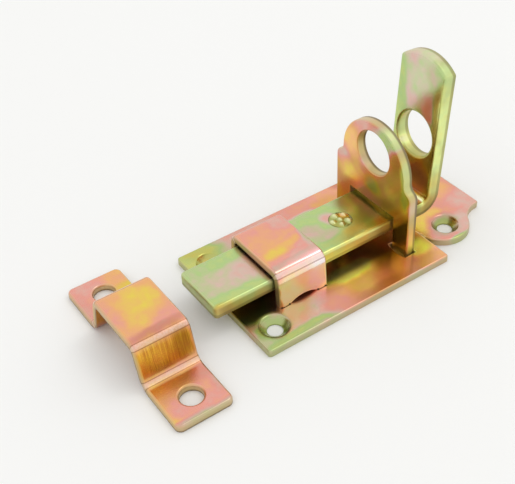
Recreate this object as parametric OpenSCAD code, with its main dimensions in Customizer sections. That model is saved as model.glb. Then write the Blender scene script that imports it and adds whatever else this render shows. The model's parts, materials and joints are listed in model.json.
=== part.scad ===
// Padlock bolt: a flat bar bolt that slides on a screwed-down base plate and is locked by a padlock
// through two lugs, with its loose keeper lying in line with it. Millimetres, +Z away from the door.
// The origin is on the back of the base plate, on the centre line, midway along the plate.
// The bolt shoots towards -X. Sizes along X are measured from the plate's leading edge.

/* [Base plate] */
// Width of the base plate
plate_w = 42; // [38:0.5:60]
// Length of the rectangular body, without the shaped tail
plate_body_l = 56.4; // [50:0.2:90]
// Length of the shaped tail behind the body
tail_l = 21.8; // [20:0.2:30]
// Thickness of the base plate
plate_t = 2; // [1.2:0.1:4]
// Corner radius of the plate
plate_corner_r = 0.8; // [0.3:0.1:2]
// Width of the tongue that ends the tail
tongue_w = 19; // [18:0.2:26]
// Radius of the round lobe beside each tail screw
lobe_r = 7.8; // [6:0.1:9]
// How far the lobe's centre lies ahead of the tail screw
lobe_lead = 0.3; // [0:0.1:2]
// How far the lobe's centre lies outside the tail screw, or inside it when negative
lobe_out = -1.5; // [-2:0.1:2]
// Hollow radius between lobe and tongue
hollow_r = 7.6; // [3:0.1:8]

/* [Screw holes] */
// Bore of the screw holes in the plate
screw_bore_d = 4; // [3:0.1:6]
// Mouth of the pressed countersink
screw_mouth_d = 7.2; // [6:0.1:9]
// Depth of the countersink
screw_sink = 1.6; // [0.5:0.1:1.8]
// Front screws: distance from the leading edge
front_screw_x = 6.1; // [4.5:0.1:9]
// Front screws: distance from the side edges
front_screw_edge = 6.5; // [5:0.1:8]
// Tail screws: distance behind the rectangular body
tail_screw_x = 7.9; // [6:0.1:12]
// Tail screws: distance from the side edges
tail_screw_edge = 10; // [8:0.1:12]

/* [Sliding bolt] */
// Width of the flat bar
bar_w = 16.2; // [12:0.1:20]
// Thickness of the flat bar
bar_t = 3.8; // [3:0.1:6]
// Height of the bar's underside over the plate
bar_lift = 3.8; // [2:0.1:6]
// How far the tip stands out past the plate at rest
bolt_out = 6.2; // [2:0.1:9]
// Distance from the leading edge to the handle's face, at the bar's top
handle_x = 60.1; // [58:0.1:70]
// Lean of the handle away from the padlock lug, in degrees
handle_lean = 4; // [0:0.5:8]
// Height of the handle over the bar's top, along its face
handle_h = 39.1; // [34:0.1:50]
// Crown radius of the handle's end
crown_r = 12; // [10:0.5:30]
// Small corner radius beside the crown
crown_corner_r = 1; // [0.5:0.1:3]
// Inside radius of the bend
bend_r = 1.8; // [1:0.1:3]
// Corner radius of the tip
tip_r = 1.2; // [0.5:0.1:4]

/* [Stop rivet] */
// Distance from the leading edge to the rivet at rest
rivet_x = 37.4; // [35:0.1:40]
// Diameter of the peened head
rivet_head_d = 6.6; // [6:0.1:8]
// Height of the peened head
rivet_head_h = 1.1; // [0.8:0.1:2]
// Diameter of the head's flat top
rivet_top_d = 4.6; // [4:0.1:5.5]
// Height of the head's upright rim
rivet_rim_h = 0.45; // [0.2:0.05:0.7]
// Diameter of the dimple left by the peening punch
rivet_dimple_d = 3; // [2:0.1:3.6]
// Depth of the dimple
rivet_dimple_h = 0.45; // [0.2:0.05:0.7]
// Diameter of the shank
rivet_shank_d = 4; // [2.5:0.1:5]
// Diameter of the foot that runs on the plate
rivet_foot_d = 6; // [5:0.1:8]
// Running gap under the foot
rivet_foot_gap = 0.15; // [0.1:0.05:0.5]
// Clearance of the shank in its hole
rivet_fit = 0.03; // [0.01:0.01:0.1]

/* [Guide strap] */
// Distance from the leading edge to the strap
strap_x = 10.4; // [8:0.1:14]
// Length of the strap along the bolt
strap_l = 14.4; // [10:0.1:18]
// Sheet thickness of the strap
strap_t = 2; // [1.2:0.1:3]
// Side clearance of the bar in the strap
strap_side_gap = 0.4; // [0.2:0.05:1]
// Clearance over the bar in the strap
strap_top_gap = 0.7; // [0.2:0.05:1.5]
// Slope of the strap's legs, in degrees
strap_draft = 3; // [0:0.5:10]
// Inside radius of the strap's bends
strap_bend_r = 1; // [0.5:0.1:2]
// Length of the shallow arch under each leg
arch_l = 7.6; // [5:0.1:9]
// Height of that arch
arch_h = 1; // [0.4:0.1:2]
// Length of each staked tenon
tenon_l = 2.4; // [1.5:0.1:3]
// Setback of a tenon from the strap's end
tenon_setback = 0.5; // [0.2:0.1:1]
// Clearance of staked tenons in their slots
stake_fit = 0.05; // [0.02:0.01:0.1]

/* [Padlock lug] */
// Distance from the leading edge to the lug's front face
lug_x = 47.6; // [46:0.1:49]
// Sheet thickness of the lug
lug_t = 2.6; // [1.5:0.1:4]
// Width of the lug at its foot
lug_w = 29; // [27:0.1:34]
// Radius of the lug's round head
lug_head_r = 12; // [10:0.1:14]
// Height of the head's centre over the back of the plate
lug_head_z = 22.6; // [20:0.1:28]
// Height at which the shoulders start to turn in, over the back of the plate
shoulder_z = 18.5; // [16:0.1:21]
// Outer radius of the shoulders
shoulder_r = 2.2; // [0.5:0.1:4]
// Inner radius between shoulder and head
shoulder_fillet = 2.4; // [0.5:0.1:4]
// Side clearance of the bar in the lug's window
window_side_gap = 0.5; // [0.3:0.05:1]
// Clearance over the bar in the window
window_top_gap = 1.1; // [0.3:0.05:2]
// Play of the lug's slot in front of the lug
slot_play = 1; // [0.2:0.1:1.5]

/* [Padlock holes] */
// Diameter of the padlock hole in the lug
lug_hole_d = 12; // [8:0.1:14]
// Diameter of the padlock hole in the handle
handle_hole_d = 12.2; // [8:0.1:14]
// Height of both padlock holes over the back of the plate
lock_z = 26; // [22:0.1:30]

/* [Keeper] */
// Gap between the plate's leading edge and the keeper
keeper_gap = 13.9; // [8:0.1:40]
// Width of the keeper's strip
keeper_w = 14.8; // [10:0.1:20]
// Overall length of the keeper across the bolt
keeper_l = 54.8; // [52:0.1:70]
// Sheet thickness of the keeper
keeper_t = 2; // [1.2:0.1:3]
// Side clearance of the bar in the keeper
keeper_side_gap = 0.5; // [0.3:0.05:1.5]
// Clearance over the bar in the keeper
keeper_top_gap = 0.7; // [0.3:0.05:1.5]
// Slope of the keeper's legs, in degrees
keeper_draft = 14; // [0:0.5:20]
// Inside radius of the keeper's bends
keeper_bend_r = 1.3; // [0.5:0.1:2]
// Corner radius of the feet
keeper_corner_r = 1.6; // [0.5:0.1:4]
// Bore of the keeper's screw holes
keeper_bore_d = 5.7; // [3:0.1:6.5]
// Distance from the keeper's ends to its screw holes
keeper_hole_edge = 6.5; // [5:0.1:8]

/* [Hidden] */
$fn = 64;
eps = 0.01;
plate_l = plate_body_l + tail_l;
origin_x = -plate_l / 2;
bar_under = plate_t + bar_lift;
bar_top = bar_under + bar_t;
window_w = bar_w + 2 * window_side_gap;
window_top = bar_top + window_top_gap;
lug_leg_w = (lug_w - window_w) / 2;
// Each shoulder is a double curve from the leg's side in to the head's side
shoulder_step = max(lug_w / 2 - lug_head_r, 0);
shoulder_turn = acos(max(1 - shoulder_step / (shoulder_r + shoulder_fillet), -1));
shoulder_rise = (shoulder_r + shoulder_fillet) * sin(shoulder_turn);
front_screws = [for (s = [-1, 1]) [front_screw_x, s * (plate_w / 2 - front_screw_edge)]];
tail_screws = [for (s = [-1, 1]) [plate_body_l + tail_screw_x, s * (plate_w / 2 - tail_screw_edge)]];
lobe_x = plate_body_l + tail_screw_x - lobe_lead;
lobe_y = plate_w / 2 - tail_screw_edge + lobe_out;
hollow_y = tongue_w / 2 + hollow_r;
hollow_x = lobe_x + sqrt(pow(lobe_r + hollow_r, 2) - pow(hollow_y - lobe_y, 2));
strap_inner_top = bar_top + strap_top_gap;
keeper_inner_top = bar_top + keeper_top_gap;
keeper_x = -keeper_gap - keeper_w / 2;
// Half width, on the middle of the sheet, of a sloped leg that clears the bar at the bar's top
function leg_y(gap, t, draft, z) = bar_w / 2 + gap + t / 2 / cos(draft) + (bar_top - z) * tan(draft);
strap_foot_y = leg_y(strap_side_gap, strap_t, strap_draft, plate_t);
tenon_xs = [strap_x + tenon_setback, strap_x + strap_l - tenon_setback - tenon_l];
// Height of the handle's padlock hole along the handle's face
handle_hole_h = (lock_z - bar_top + bar_t / 2 * sin(handle_lean)) / cos(handle_lean);

// Unit vector at an angle, and the heading from one point to the next
function unit(a) = [cos(a), sin(a)];
function heading(p, q) = atan2(q[1] - p[1], q[0] - p[0]);

// One side of a bent strip: side is 1 for the left of the path and -1 for the right
function bend_side(path, t, r, side, steps = 8) = [
    each [path[0] + side * t / 2 * unit(heading(path[0], path[1]) + 90)],
    for (i = [1 : len(path) - 2])
        let (a = heading(path[i - 1], path[i]), b = heading(path[i], path[i + 1]),
             turn = (b - a + 540) % 360 - 180, s = sign(turn), mid = r + t / 2,
             c = path[i] - mid * tan(abs(turn) / 2) * unit(a) + s * mid * unit(a + 90))
        for (k = [0 : steps]) c + (mid - side * s * t / 2) * unit(a - 90 * s + turn * k / steps),
    each [path[len(path) - 1]
          + side * t / 2 * unit(heading(path[len(path) - 2], path[len(path) - 1]) + 90)]
];

function reversed(list) = [for (i = [len(list) - 1 : -1 : 0]) list[i]];

// Section of a bent strip of thickness t with inside radius r
module strip_section(path, t, r) {
    polygon(concat(bend_side(path, t, r, 1), reversed(bend_side(path, t, r, -1))));
}

// A section drawn in Y and Z, extruded along X from x
module along_x(x, length) {
    translate([x, 0, 0]) rotate([90, 0, 90]) linear_extrude(length) children();
}

// A section drawn in X and Z, extruded across Y, centred
module across_y(width) {
    rotate([90, 0, 0]) linear_extrude(width, center = true) children();
}

// A flat slab with rounded corners, from x0 to x1, centred on Y
module round_slab(x0, x1, width, thick, r) {
    translate([x0 + r, -width / 2, 0]) cube([x1 - x0 - 2 * r, width, thick]);
    translate([x0, -width / 2 + r, 0]) cube([x1 - x0, width - 2 * r, thick]);
    for (x = [x0 + r, x1 - r], y = [-width / 2 + r, width / 2 - r])
        translate([x, y, 0]) cylinder(h = thick, r = r);
}

// Lobe beside a tail screw, blended into the tongue by a hollow; side is 1 or -1
module tail_lobe(side) {
    translate([lobe_x, side * lobe_y, 0]) cylinder(h = plate_t, r = lobe_r);
    difference() {
        linear_extrude(plate_t)
            polygon([for (p = [[plate_body_l - plate_corner_r, 0], [lobe_x, lobe_y],
                               [hollow_x, hollow_y], [hollow_x, 0]]) [p[0], p[1] * side]]);
        translate([hollow_x, side * hollow_y, -eps]) cylinder(h = plate_t + 2 * eps, r = hollow_r);
    }
}

// Through hole with a pressed countersink
module screw_hole(bore, mouth, sink, t) {
    translate([0, 0, -eps]) cylinder(h = t + 2 * eps, d = bore);
    translate([0, 0, t - sink]) cylinder(h = sink + eps, d1 = bore, d2 = mouth);
}

module base_plate() {
    color("#dcae82") translate([origin_x, 0, 0]) difference() {
        union() {
            round_slab(0, plate_body_l, plate_w, plate_t, plate_corner_r);
            round_slab(plate_body_l - 2 * plate_corner_r, plate_l, tongue_w, plate_t, plate_corner_r);
            for (side = [-1, 1]) tail_lobe(side);
        }
        for (p = concat(front_screws, tail_screws))
            translate([p[0], p[1], 0]) screw_hole(screw_bore_d, screw_mouth_d, screw_sink, plate_t);
        for (side = [-1, 1]) {
            for (x = tenon_xs)
                translate([x - stake_fit, side * strap_foot_y - strap_t / 2 - stake_fit, -eps])
                    cube([tenon_l + 2 * stake_fit, strap_t + 2 * stake_fit, plate_t + 2 * eps]);
            lug_slot(side);
        }
    }
}

// Slot for one leg of the padlock lug, with its front wall rounded out
module lug_slot(side) {
    y0 = side * (lug_w - lug_leg_w) / 2;
    half = lug_leg_w / 2 + stake_fit;
    translate([lug_x - slot_play / 2, y0 - half, -eps])
        cube([lug_t + slot_play / 2, 2 * half, plate_t + 2 * eps]);
    bow = (half * half + slot_play * slot_play / 4) / slot_play;
    intersection() {
        translate([lug_x - slot_play / 2 + bow - slot_play / 2, y0, -eps])
            cylinder(h = plate_t + 2 * eps, r = bow);
        translate([lug_x - slot_play, y0 - half, -eps])
            cube([slot_play, 2 * half, plate_t + 2 * eps]);
    }
}

module guide_strap() {
    leg_top_z = strap_inner_top + strap_t / 2;
    foot = leg_y(strap_side_gap, strap_t, strap_draft, 0);
    head = leg_y(strap_side_gap, strap_t, strap_draft, leg_top_z);
    arch_r = (arch_l * arch_l / 4 + arch_h * arch_h) / (2 * arch_h);
    color("#e3a87e") translate([origin_x, 0, 0]) {
        difference() {
            along_x(strap_x, strap_l)
                strip_section([[-foot, 0], [-head, leg_top_z], [head, leg_top_z], [foot, 0]],
                              strap_t, strap_bend_r);
            translate([strap_x - eps, -plate_w / 2, -2 * strap_t])
                cube([strap_l + 2 * eps, plate_w, plate_t + 2 * strap_t]);
            translate([strap_x + strap_l / 2, 0, plate_t + arch_h - arch_r]) rotate([90, 0, 0])
                cylinder(h = plate_w, r = arch_r, center = true, $fn = 128);
        }
        for (side = [-1, 1], x = tenon_xs)
            translate([x, side * strap_foot_y - strap_t / 2, 0]) cube([tenon_l, strap_t, plate_t]);
    }
}

// Right half of a shoulder's outline, from the leg's side up to the head's side
function shoulder_side(steps = 8) = concat(
    [for (k = [0 : steps])
        [lug_w / 2 - shoulder_r, shoulder_z] + shoulder_r * unit(shoulder_turn * k / steps)],
    [for (k = [steps - 1 : -1 : 0])
        [lug_w / 2 - shoulder_step + shoulder_fillet, shoulder_z + shoulder_rise]
        - shoulder_fillet * unit(shoulder_turn * k / steps)]);

// Outline of the padlock lug as a flat blank, thickness along X
module lug_blank() {
    right = concat([[lug_w / 2, 0]], shoulder_side());
    along_x(lug_x, lug_t) {
        polygon(concat(right, [for (p = reversed(right)) [-p[0], p[1]]]));
        translate([-lug_head_r, 0]) square([2 * lug_head_r, lug_head_z]);
        translate([0, lug_head_z]) circle(r = lug_head_r);
    }
}

module padlock_lug() {
    color("#dfae7c") translate([origin_x, 0, 0]) difference() {
        lug_blank();
        translate([lug_x - eps, -window_w / 2, -eps]) cube([lug_t + 2 * eps, window_w, window_top + eps]);
        translate([lug_x - eps, 0, lock_z]) rotate([0, 90, 0])
            cylinder(h = lug_t + 2 * eps, d = lug_hole_d);
    }
}

// Flat bar end with a crown: width along Y, height along Z, thickness along X, standing on z = 0
module crowned_blank(width, height, thick, big_r, small_r) {
    big_z = height - big_r;
    small_y = width / 2 - small_r;
    small_z = big_z + sqrt(pow(big_r - small_r, 2) - small_y * small_y);
    reach = 2 * big_r / (big_r - small_r);
    translate([0, -width / 2, 0]) cube([thick, width, small_z]);
    for (side = [-1, 1]) translate([0, side * small_y, small_z]) rotate([0, 90, 0])
        cylinder(h = thick, r = small_r);
    intersection() {
        translate([0, 0, big_z]) rotate([0, 90, 0]) cylinder(h = thick, r = big_r, $fn = 128);
        along_x(0, thick) polygon([[0, big_z], [small_y * reach, big_z + (small_z - big_z) * reach],
                                   [-small_y * reach, big_z + (small_z - big_z) * reach]]);
    }
}

module sliding_bolt() {
    // The bend is drawn with straight legs, which lap halfway into the bar and the handle
    leg = 2 * (bend_r + bar_t);
    mid_z = bar_under + bar_t / 2;
    corner_x = handle_x + bar_t / 2 / cos(handle_lean) - bar_t / 2 * tan(handle_lean);
    up = leg * unit(90 - handle_lean);
    color("#c6c888") translate([origin_x, 0, 0]) difference() {
        union() {
            translate([0, 0, bar_under])
                round_slab(-bolt_out, corner_x - leg / 2, bar_w, bar_t, tip_r);
            across_y(bar_w) strip_section([[corner_x - leg, mid_z], [corner_x, mid_z],
                                           [corner_x, mid_z] + up], bar_t, bend_r);
            difference() {
                translate([handle_x, 0, bar_top]) rotate([0, handle_lean, 0])
                    crowned_blank(bar_w, handle_h, bar_t, crown_r, crown_corner_r);
                translate([corner_x - leg, -bar_w, 0])
                    cube([2 * leg, 2 * bar_w, mid_z + up[1] / 2]);
            }
        }
        translate([handle_x, 0, bar_top]) rotate([0, handle_lean, 0])
            translate([-eps, 0, handle_hole_h]) rotate([0, 90, 0])
                cylinder(h = bar_t + 2 * eps, d = handle_hole_d);
        translate([rivet_x, 0, bar_under - eps]) cylinder(h = bar_t + 2 * eps, d = rivet_shank_d);
    }
}

module stop_rivet() {
    foot_z = plate_t + rivet_foot_gap;
    color("#cfcf8e") translate([origin_x + rivet_x, 0, 0]) difference() {
        union() {
            translate([0, 0, foot_z]) cylinder(h = bar_under - foot_z, d = rivet_foot_d);
            translate([0, 0, foot_z])
                cylinder(h = bar_top + rivet_rim_h - foot_z, d = rivet_shank_d - 2 * rivet_fit);
            translate([0, 0, bar_top]) cylinder(h = rivet_rim_h, d = rivet_head_d);
            translate([0, 0, bar_top + rivet_rim_h])
                cylinder(h = rivet_head_h - rivet_rim_h, d1 = rivet_head_d, d2 = rivet_top_d);
        }
        // A punch with 45 degree flanks left the dimple
        translate([0, 0, bar_top + rivet_head_h - rivet_dimple_h])
            cylinder(h = 2 * rivet_dimple_h, d1 = rivet_dimple_d - 2 * rivet_dimple_h,
                     d2 = rivet_dimple_d + 2 * rivet_dimple_h);
    }
}

module keeper() {
    top_z = keeper_inner_top + keeper_t / 2;
    foot_z = keeper_t / 2;
    foot_y = leg_y(keeper_side_gap, keeper_t, keeper_draft, foot_z);
    head_y = leg_y(keeper_side_gap, keeper_t, keeper_draft, top_z);
    end_y = keeper_l / 2;
    color("#e2a67c") translate([origin_x, 0, 0]) difference() {
        intersection() {
            along_x(keeper_x - keeper_w / 2, keeper_w)
                strip_section([[-end_y, foot_z], [-foot_y, foot_z], [-head_y, top_z],
                               [head_y, top_z], [foot_y, foot_z], [end_y, foot_z]],
                              keeper_t, keeper_bend_r);
            translate([keeper_x, 0, -eps]) rotate([0, 0, 90])
                round_slab(-end_y, end_y, keeper_w, top_z + keeper_t, keeper_corner_r);
        }
        for (side = [-1, 1]) translate([keeper_x, side * (end_y - keeper_hole_edge), -eps])
            cylinder(h = keeper_t + 2 * eps, d = keeper_bore_d);
    }
}

base_plate();
guide_strap();
padlock_lug();
sliding_bolt();
stop_rivet();
keeper();
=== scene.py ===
# %% [markdown]
# # A padlock bolt, in yellow zinc
# This lesson dresses a small piece of door hardware: a flat bar that slides through a bent strap on
# a screwed plate, and that a padlock holds through a lug and through the bar's own handle. The CAD
# model already says where everything is and how the bolt slides. What it lacks is what a press shop
# and a plating bath leave behind: soft sheared rims, real bends, a peened rivet and a film of colour.
# The CAD model is loaded first, and its box is kept, because the finished pieces have to fit in it.

# %% The frame
import json
from math import acos, asin, atan2, cos, degrees, hypot, pi, radians, sin, sqrt, tan

import bmesh
import bpy
from mathutils import Matrix, Vector


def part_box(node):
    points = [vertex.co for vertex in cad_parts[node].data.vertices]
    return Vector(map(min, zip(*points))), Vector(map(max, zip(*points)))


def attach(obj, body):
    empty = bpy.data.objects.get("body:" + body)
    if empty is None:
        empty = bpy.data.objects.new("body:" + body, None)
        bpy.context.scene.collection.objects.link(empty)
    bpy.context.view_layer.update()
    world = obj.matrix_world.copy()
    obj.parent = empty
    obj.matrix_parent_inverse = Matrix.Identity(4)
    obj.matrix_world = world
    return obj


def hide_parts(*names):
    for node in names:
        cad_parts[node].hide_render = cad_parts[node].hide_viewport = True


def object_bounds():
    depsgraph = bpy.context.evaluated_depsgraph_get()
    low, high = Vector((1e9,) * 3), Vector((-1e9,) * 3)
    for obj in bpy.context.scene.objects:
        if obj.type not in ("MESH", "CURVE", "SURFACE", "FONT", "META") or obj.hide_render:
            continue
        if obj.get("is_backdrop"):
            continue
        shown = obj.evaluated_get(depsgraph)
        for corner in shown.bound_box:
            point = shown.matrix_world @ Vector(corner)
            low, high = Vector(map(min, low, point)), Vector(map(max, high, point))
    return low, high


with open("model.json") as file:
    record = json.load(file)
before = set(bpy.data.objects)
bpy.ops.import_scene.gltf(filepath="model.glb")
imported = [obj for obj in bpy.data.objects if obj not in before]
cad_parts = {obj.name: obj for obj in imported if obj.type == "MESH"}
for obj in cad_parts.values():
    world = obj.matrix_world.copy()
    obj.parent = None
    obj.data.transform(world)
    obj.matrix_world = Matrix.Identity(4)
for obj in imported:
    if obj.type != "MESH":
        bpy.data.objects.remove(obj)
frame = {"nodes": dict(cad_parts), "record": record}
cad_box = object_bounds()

MM = 0.001


def box_mm(node):
    """The lowest and highest corner of a CAD node, in millimetres."""
    low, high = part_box(node)
    return [round(v / MM, 2) for v in low], [round(v / MM, 2) for v in high]


def mount(name):
    """One of the part's mounts, as the record states it, with its place in millimetres."""
    found = next(m for m in frame["record"]["mounts"] if m["name"] == name)
    return [v / MM for v in found["pos_m"]], found["dims"]


print("nodes:", sorted(frame["nodes"]))
print("box in mm:", [[round(v / MM, 1) for v in corner] for corner in cad_box])

# %% [markdown]
# ## The camera
# The camera comes first, because everything later is judged through it. Its place, turn and focal
# length were solved from straight edges and round holes of the object, so they are real sizes: it
# looks down at 40 degrees from the bolt's tip side. The picture's centre is a little off the lens
# axis, which the small shift takes up.

# %% The camera
PICTURE = (515, 484)
FOCAL_PIXELS = 961.9
LENS_AXIS = (266.5, 236.0)
CAMERA_PLACE = (-122.73, -150.06, 166.04)
CAMERA_AZIMUTH = 33.18
CAMERA_ELEVATION = 39.94
CAMERA_ROLL = -2.907
SENSOR_WIDTH = 36

camera_data = bpy.data.cameras.new("camera")
camera_data.sensor_width = SENSOR_WIDTH
camera_data.lens = FOCAL_PIXELS * SENSOR_WIDTH / PICTURE[0]
camera_data.shift_x = (PICTURE[0] / 2 - LENS_AXIS[0]) / PICTURE[0]
camera_data.shift_y = (LENS_AXIS[1] - PICTURE[1] / 2) / PICTURE[0]
camera_data.clip_start = 10 * MM
camera = bpy.data.objects.new("camera", camera_data)
bpy.context.scene.collection.objects.link(camera)
bpy.context.scene.camera = camera

azimuth, elevation = radians(CAMERA_AZIMUTH), radians(CAMERA_ELEVATION)
looks_along = Vector((sin(azimuth) * cos(elevation), cos(azimuth) * cos(elevation), -sin(elevation)))
camera.rotation_mode = "QUATERNION"
camera.rotation_quaternion = (
    looks_along.to_track_quat("-Z", "Y") @ Matrix.Rotation(radians(CAMERA_ROLL), 3, "Z").to_quaternion())
camera.location = Vector(CAMERA_PLACE) * MM
print("lens", round(camera_data.lens, 1), "mm, looking along", [round(v, 3) for v in looks_along])

# %% [markdown]
# ## Small helpers for materials
# Colours are written as sRGB hex, as a paint chart would, and one function turns them linear. One
# function adds a node, sets its options and fills its sockets with values or links.

# %% Colours and nodes
def linear(hex_colour):
    """An sRGB hex colour as linear red, green, blue and alpha."""
    parts = [int(hex_colour[i:i + 2], 16) / 255 for i in (1, 3, 5)]
    return (*[c / 12.92 if c <= 0.04045 else ((c + 0.055) / 1.055) ** 2.4 for c in parts], 1)


def add_node(tree, kind, inputs=None, **options):
    """Adds a node with its options; inputs maps a socket's name or number to a value, node or socket."""
    node = tree.nodes.new(kind)
    for option, value in options.items():
        setattr(node, option, value)
    for key, value in (inputs or {}).items():
        socket = node.inputs[key] if isinstance(key, int) else next(
            s for s in node.inputs if s.name == key and s.enabled)
        if isinstance(value, bpy.types.Node):
            value = next(s for s in value.outputs if s.enabled)
        if isinstance(value, bpy.types.NodeSocket):
            tree.links.new(value, socket)
        else:
            socket.default_value = value
    return node


print("pale yellow is", [round(v, 2) for v in linear("#e9cc52")])

# %% [markdown]
# ## Floor, world and lamps
# Bright metal shows its surroundings, so the studio is part of its look. The floor is plain matt
# white card. The world is white to the camera and in reflections, and a hair dimmer as a light, so
# that the card stays just under pure white and keeps a soft shadow. The flats then show their own
# colours, neither paler nor darker. One weak softbox hangs high on the handle's side: no flat
# mirrors it towards the camera, but each bend does, as a soft bright line.

# %% Floor and world
FLOOR_HALF = 3.0
FLOOR_Z = -0.02 * MM
CARD_WHITE = "#f4f4f2"
WORLD_LIGHT = 0.99

floor_mesh = bmesh.new()
bmesh.ops.create_grid(floor_mesh, x_segments=1, y_segments=1, size=FLOOR_HALF,
                      matrix=Matrix.Translation((0, 0, FLOOR_Z)))
floor_data = bpy.data.meshes.new("floor")
floor_mesh.to_mesh(floor_data)
floor_mesh.free()
floor = bpy.data.objects.new("floor", floor_data)
bpy.context.scene.collection.objects.link(floor)
floor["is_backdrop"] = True

card = bpy.data.materials.new("white_card_matt")
card.use_nodes = True
card_tree = card.node_tree
card_tree.nodes.clear()
card_shader = add_node(card_tree, "ShaderNodeBsdfPrincipled",
                       {"Base Color": linear(CARD_WHITE), "Roughness": 0.9, "Specular IOR Level": 0.1})
add_node(card_tree, "ShaderNodeOutputMaterial", {"Surface": card_shader})
floor_data.materials.append(card)

world = bpy.data.worlds.new("studio")
world.use_nodes = True
bpy.context.scene.world = world
sky = world.node_tree
sky.nodes.clear()
ray = add_node(sky, "ShaderNodeLightPath")
seen = add_node(sky, "ShaderNodeMath", {0: ray.outputs["Is Camera Ray"], 1: ray.outputs["Is Glossy Ray"]},
                operation="MAXIMUM")
seen = add_node(sky, "ShaderNodeMath", {0: seen, 1: ray.outputs["Is Transmission Ray"]},
                operation="MAXIMUM")
shine = add_node(sky, "ShaderNodeMapRange", {"Value": seen, "To Min": WORLD_LIGHT, "To Max": 1.0})
backdrop = add_node(sky, "ShaderNodeBackground", {"Color": (1, 1, 1, 1), "Strength": shine})
add_node(sky, "ShaderNodeOutputWorld", {"Surface": backdrop})
print("world strength as a light:", WORLD_LIGHT)

# %% The lamp
LAMP_PLACE = Vector((0.33, -0.08, 0.7))
LAMP_SIZE = 0.22
LAMP_WATTS = 0.38

lamp_data = bpy.data.lights.new("softbox_overhead", "AREA")
lamp_data.shape = "SQUARE"
lamp_data.size = LAMP_SIZE
lamp_data.energy = LAMP_WATTS
lamp = bpy.data.objects.new("softbox_overhead", lamp_data)
lamp.location = LAMP_PLACE
lamp.rotation_mode = "QUATERNION"
lamp.rotation_quaternion = (-LAMP_PLACE).to_track_quat("-Z", "Y")
bpy.context.scene.collection.objects.link(lamp)
bpy.context.scene.view_settings.view_transform = "Standard"
print("lamp:", round(LAMP_PLACE.length, 2), "m from the plate's middle")

# %% [markdown]
# ## Sheet metal starts as an outline
# Five of the six pieces begin flat: a press cuts an outline out of sheet or bar, and a tool folds it
# afterwards. Modelling them in the same order gives the right shape for free. An outline is a chain
# of straight lines, each drawn by extruding the last vertex, and of arcs, each drawn by spinning it.
# Only part of an outline is drawn where the rest is its mirror image.

# %% Drawing an outline
ARC_STEP = 6
HALVES_MERGE = 0.01 * MM
ENDS_MERGE = 0.005 * MM


def draw(bm, start, moves):
    """Draws lines, as (x, y), and arcs, as (centre x, centre y, degrees), on from a start, in mm."""
    pen = bm.verts.new((start[0] * MM, start[1] * MM, 0))
    for move in moves:
        if len(move) == 2:
            pen = bmesh.ops.extrude_vert_indiv(bm, verts=[pen])["verts"][0]
            pen.co = (move[0] * MM, move[1] * MM, 0)
        else:
            steps = max(2, round(abs(move[2]) / ARC_STEP))
            arc = bmesh.ops.spin(bm, geom=[pen], cent=(move[0] * MM, move[1] * MM, 0), axis=(0, 0, 1),
                                 angle=radians(move[2]), steps=steps, use_merge=False)
            pen = arc["geom_last"][0]


def mirror_outline(bm, axis):
    """Closes a half outline with its mirror image across the given axis."""
    bmesh.ops.mirror(bm, geom=bm.verts[:] + bm.edges[:], axis=axis, merge_dist=HALVES_MERGE)
    bmesh.ops.remove_doubles(bm, verts=bm.verts[:], dist=ENDS_MERGE)


def punch(bm, x, y, radius, segments=60):
    """Adds a round hole to the outlines, in mm."""
    place = Matrix.Translation((x * MM, y * MM, 0))
    bmesh.ops.create_circle(bm, cap_ends=False, radius=radius * MM, segments=segments, matrix=place)


print("arcs get a point every", ARC_STEP, "degrees")

# %% [markdown]
# ## The blank
# The press fills the outline with metal. The filled outline is extruded to the sheet's thickness,
# and both rims are rounded by a few narrow insets that also rise, which follow holes and corners
# alike. Bevel could do this too, but it stumbles where a corner arc is smaller than the bevel.
# Each vertex also keeps how far it belongs to the sheared rim, because the plating looks different
# there.

# %% Stamping a blank
ROUNDING_STEPS = 3


def stamp(bm, thickness, upper_round, lower_round):
    """Fills the outlines and thickens them about z = 0, with both rims rounded, all in mm."""
    rim = bm.verts.layers.float.new("rim")
    bmesh.ops.triangle_fill(bm, use_beauty=True, use_dissolve=False, edges=bm.edges[:], normal=(0, 0, 1))
    bmesh.ops.dissolve_limit(bm, angle_limit=radians(1), use_dissolve_boundaries=False,
                             verts=bm.verts[:], edges=bm.edges[:])
    lower = bm.faces[:]
    bmesh.ops.translate(bm, vec=(0, 0, (lower_round - thickness / 2) * MM), verts=bm.verts[:])
    made = bmesh.ops.extrude_face_region(bm, geom=lower)["geom"]
    upper = [g for g in made if isinstance(g, bmesh.types.BMFace)]
    bmesh.ops.translate(bm, vec=(0, 0, (thickness - upper_round - lower_round) * MM),
                        verts=[g for g in made if isinstance(g, bmesh.types.BMVert)])
    bmesh.ops.recalc_face_normals(bm, faces=bm.faces[:])
    for v in bm.verts:
        v[rim] = 1
    for faces, radius in ((upper, upper_round), (lower, lower_round)):
        for k in range(ROUNDING_STEPS):
            before, after = (pi / 2 * (k + s) / ROUNDING_STEPS for s in (0, 1))
            bmesh.ops.inset_region(bm, faces=faces, thickness=radius * (cos(before) - cos(after)) * MM,
                                   depth=radius * (sin(after) - sin(before)) * MM, use_even_offset=True)
            for v in {v for f in faces for v in f.verts}:
                v[rim] = 1 - (k + 1) / ROUNDING_STEPS


def keep_blank_places(bm):
    """Stores where each vertex lies on the flat blank, in mm, for the plating to follow."""
    blank = bm.verts.layers.float_vector.new("blank")
    for v in bm.verts:
        v[blank] = v.co / MM


print("rims are rounded in", ROUNDING_STEPS, "steps")

# %% [markdown]
# ## Folding
# A bend doesn't stretch the middle of the sheet: it turns round a cylinder whose radius is the
# inside radius and half the thickness. So the flat length of a folded piece can be worked out from
# the corners of its middle line, as a press shop does, and folding moves each vertex past the bend
# line round that cylinder. The blank is cut across by a few planes first, so that the bend is round.
# Bends are made from the ends inwards, and one more attribute marks where the skin was stretched.

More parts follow.
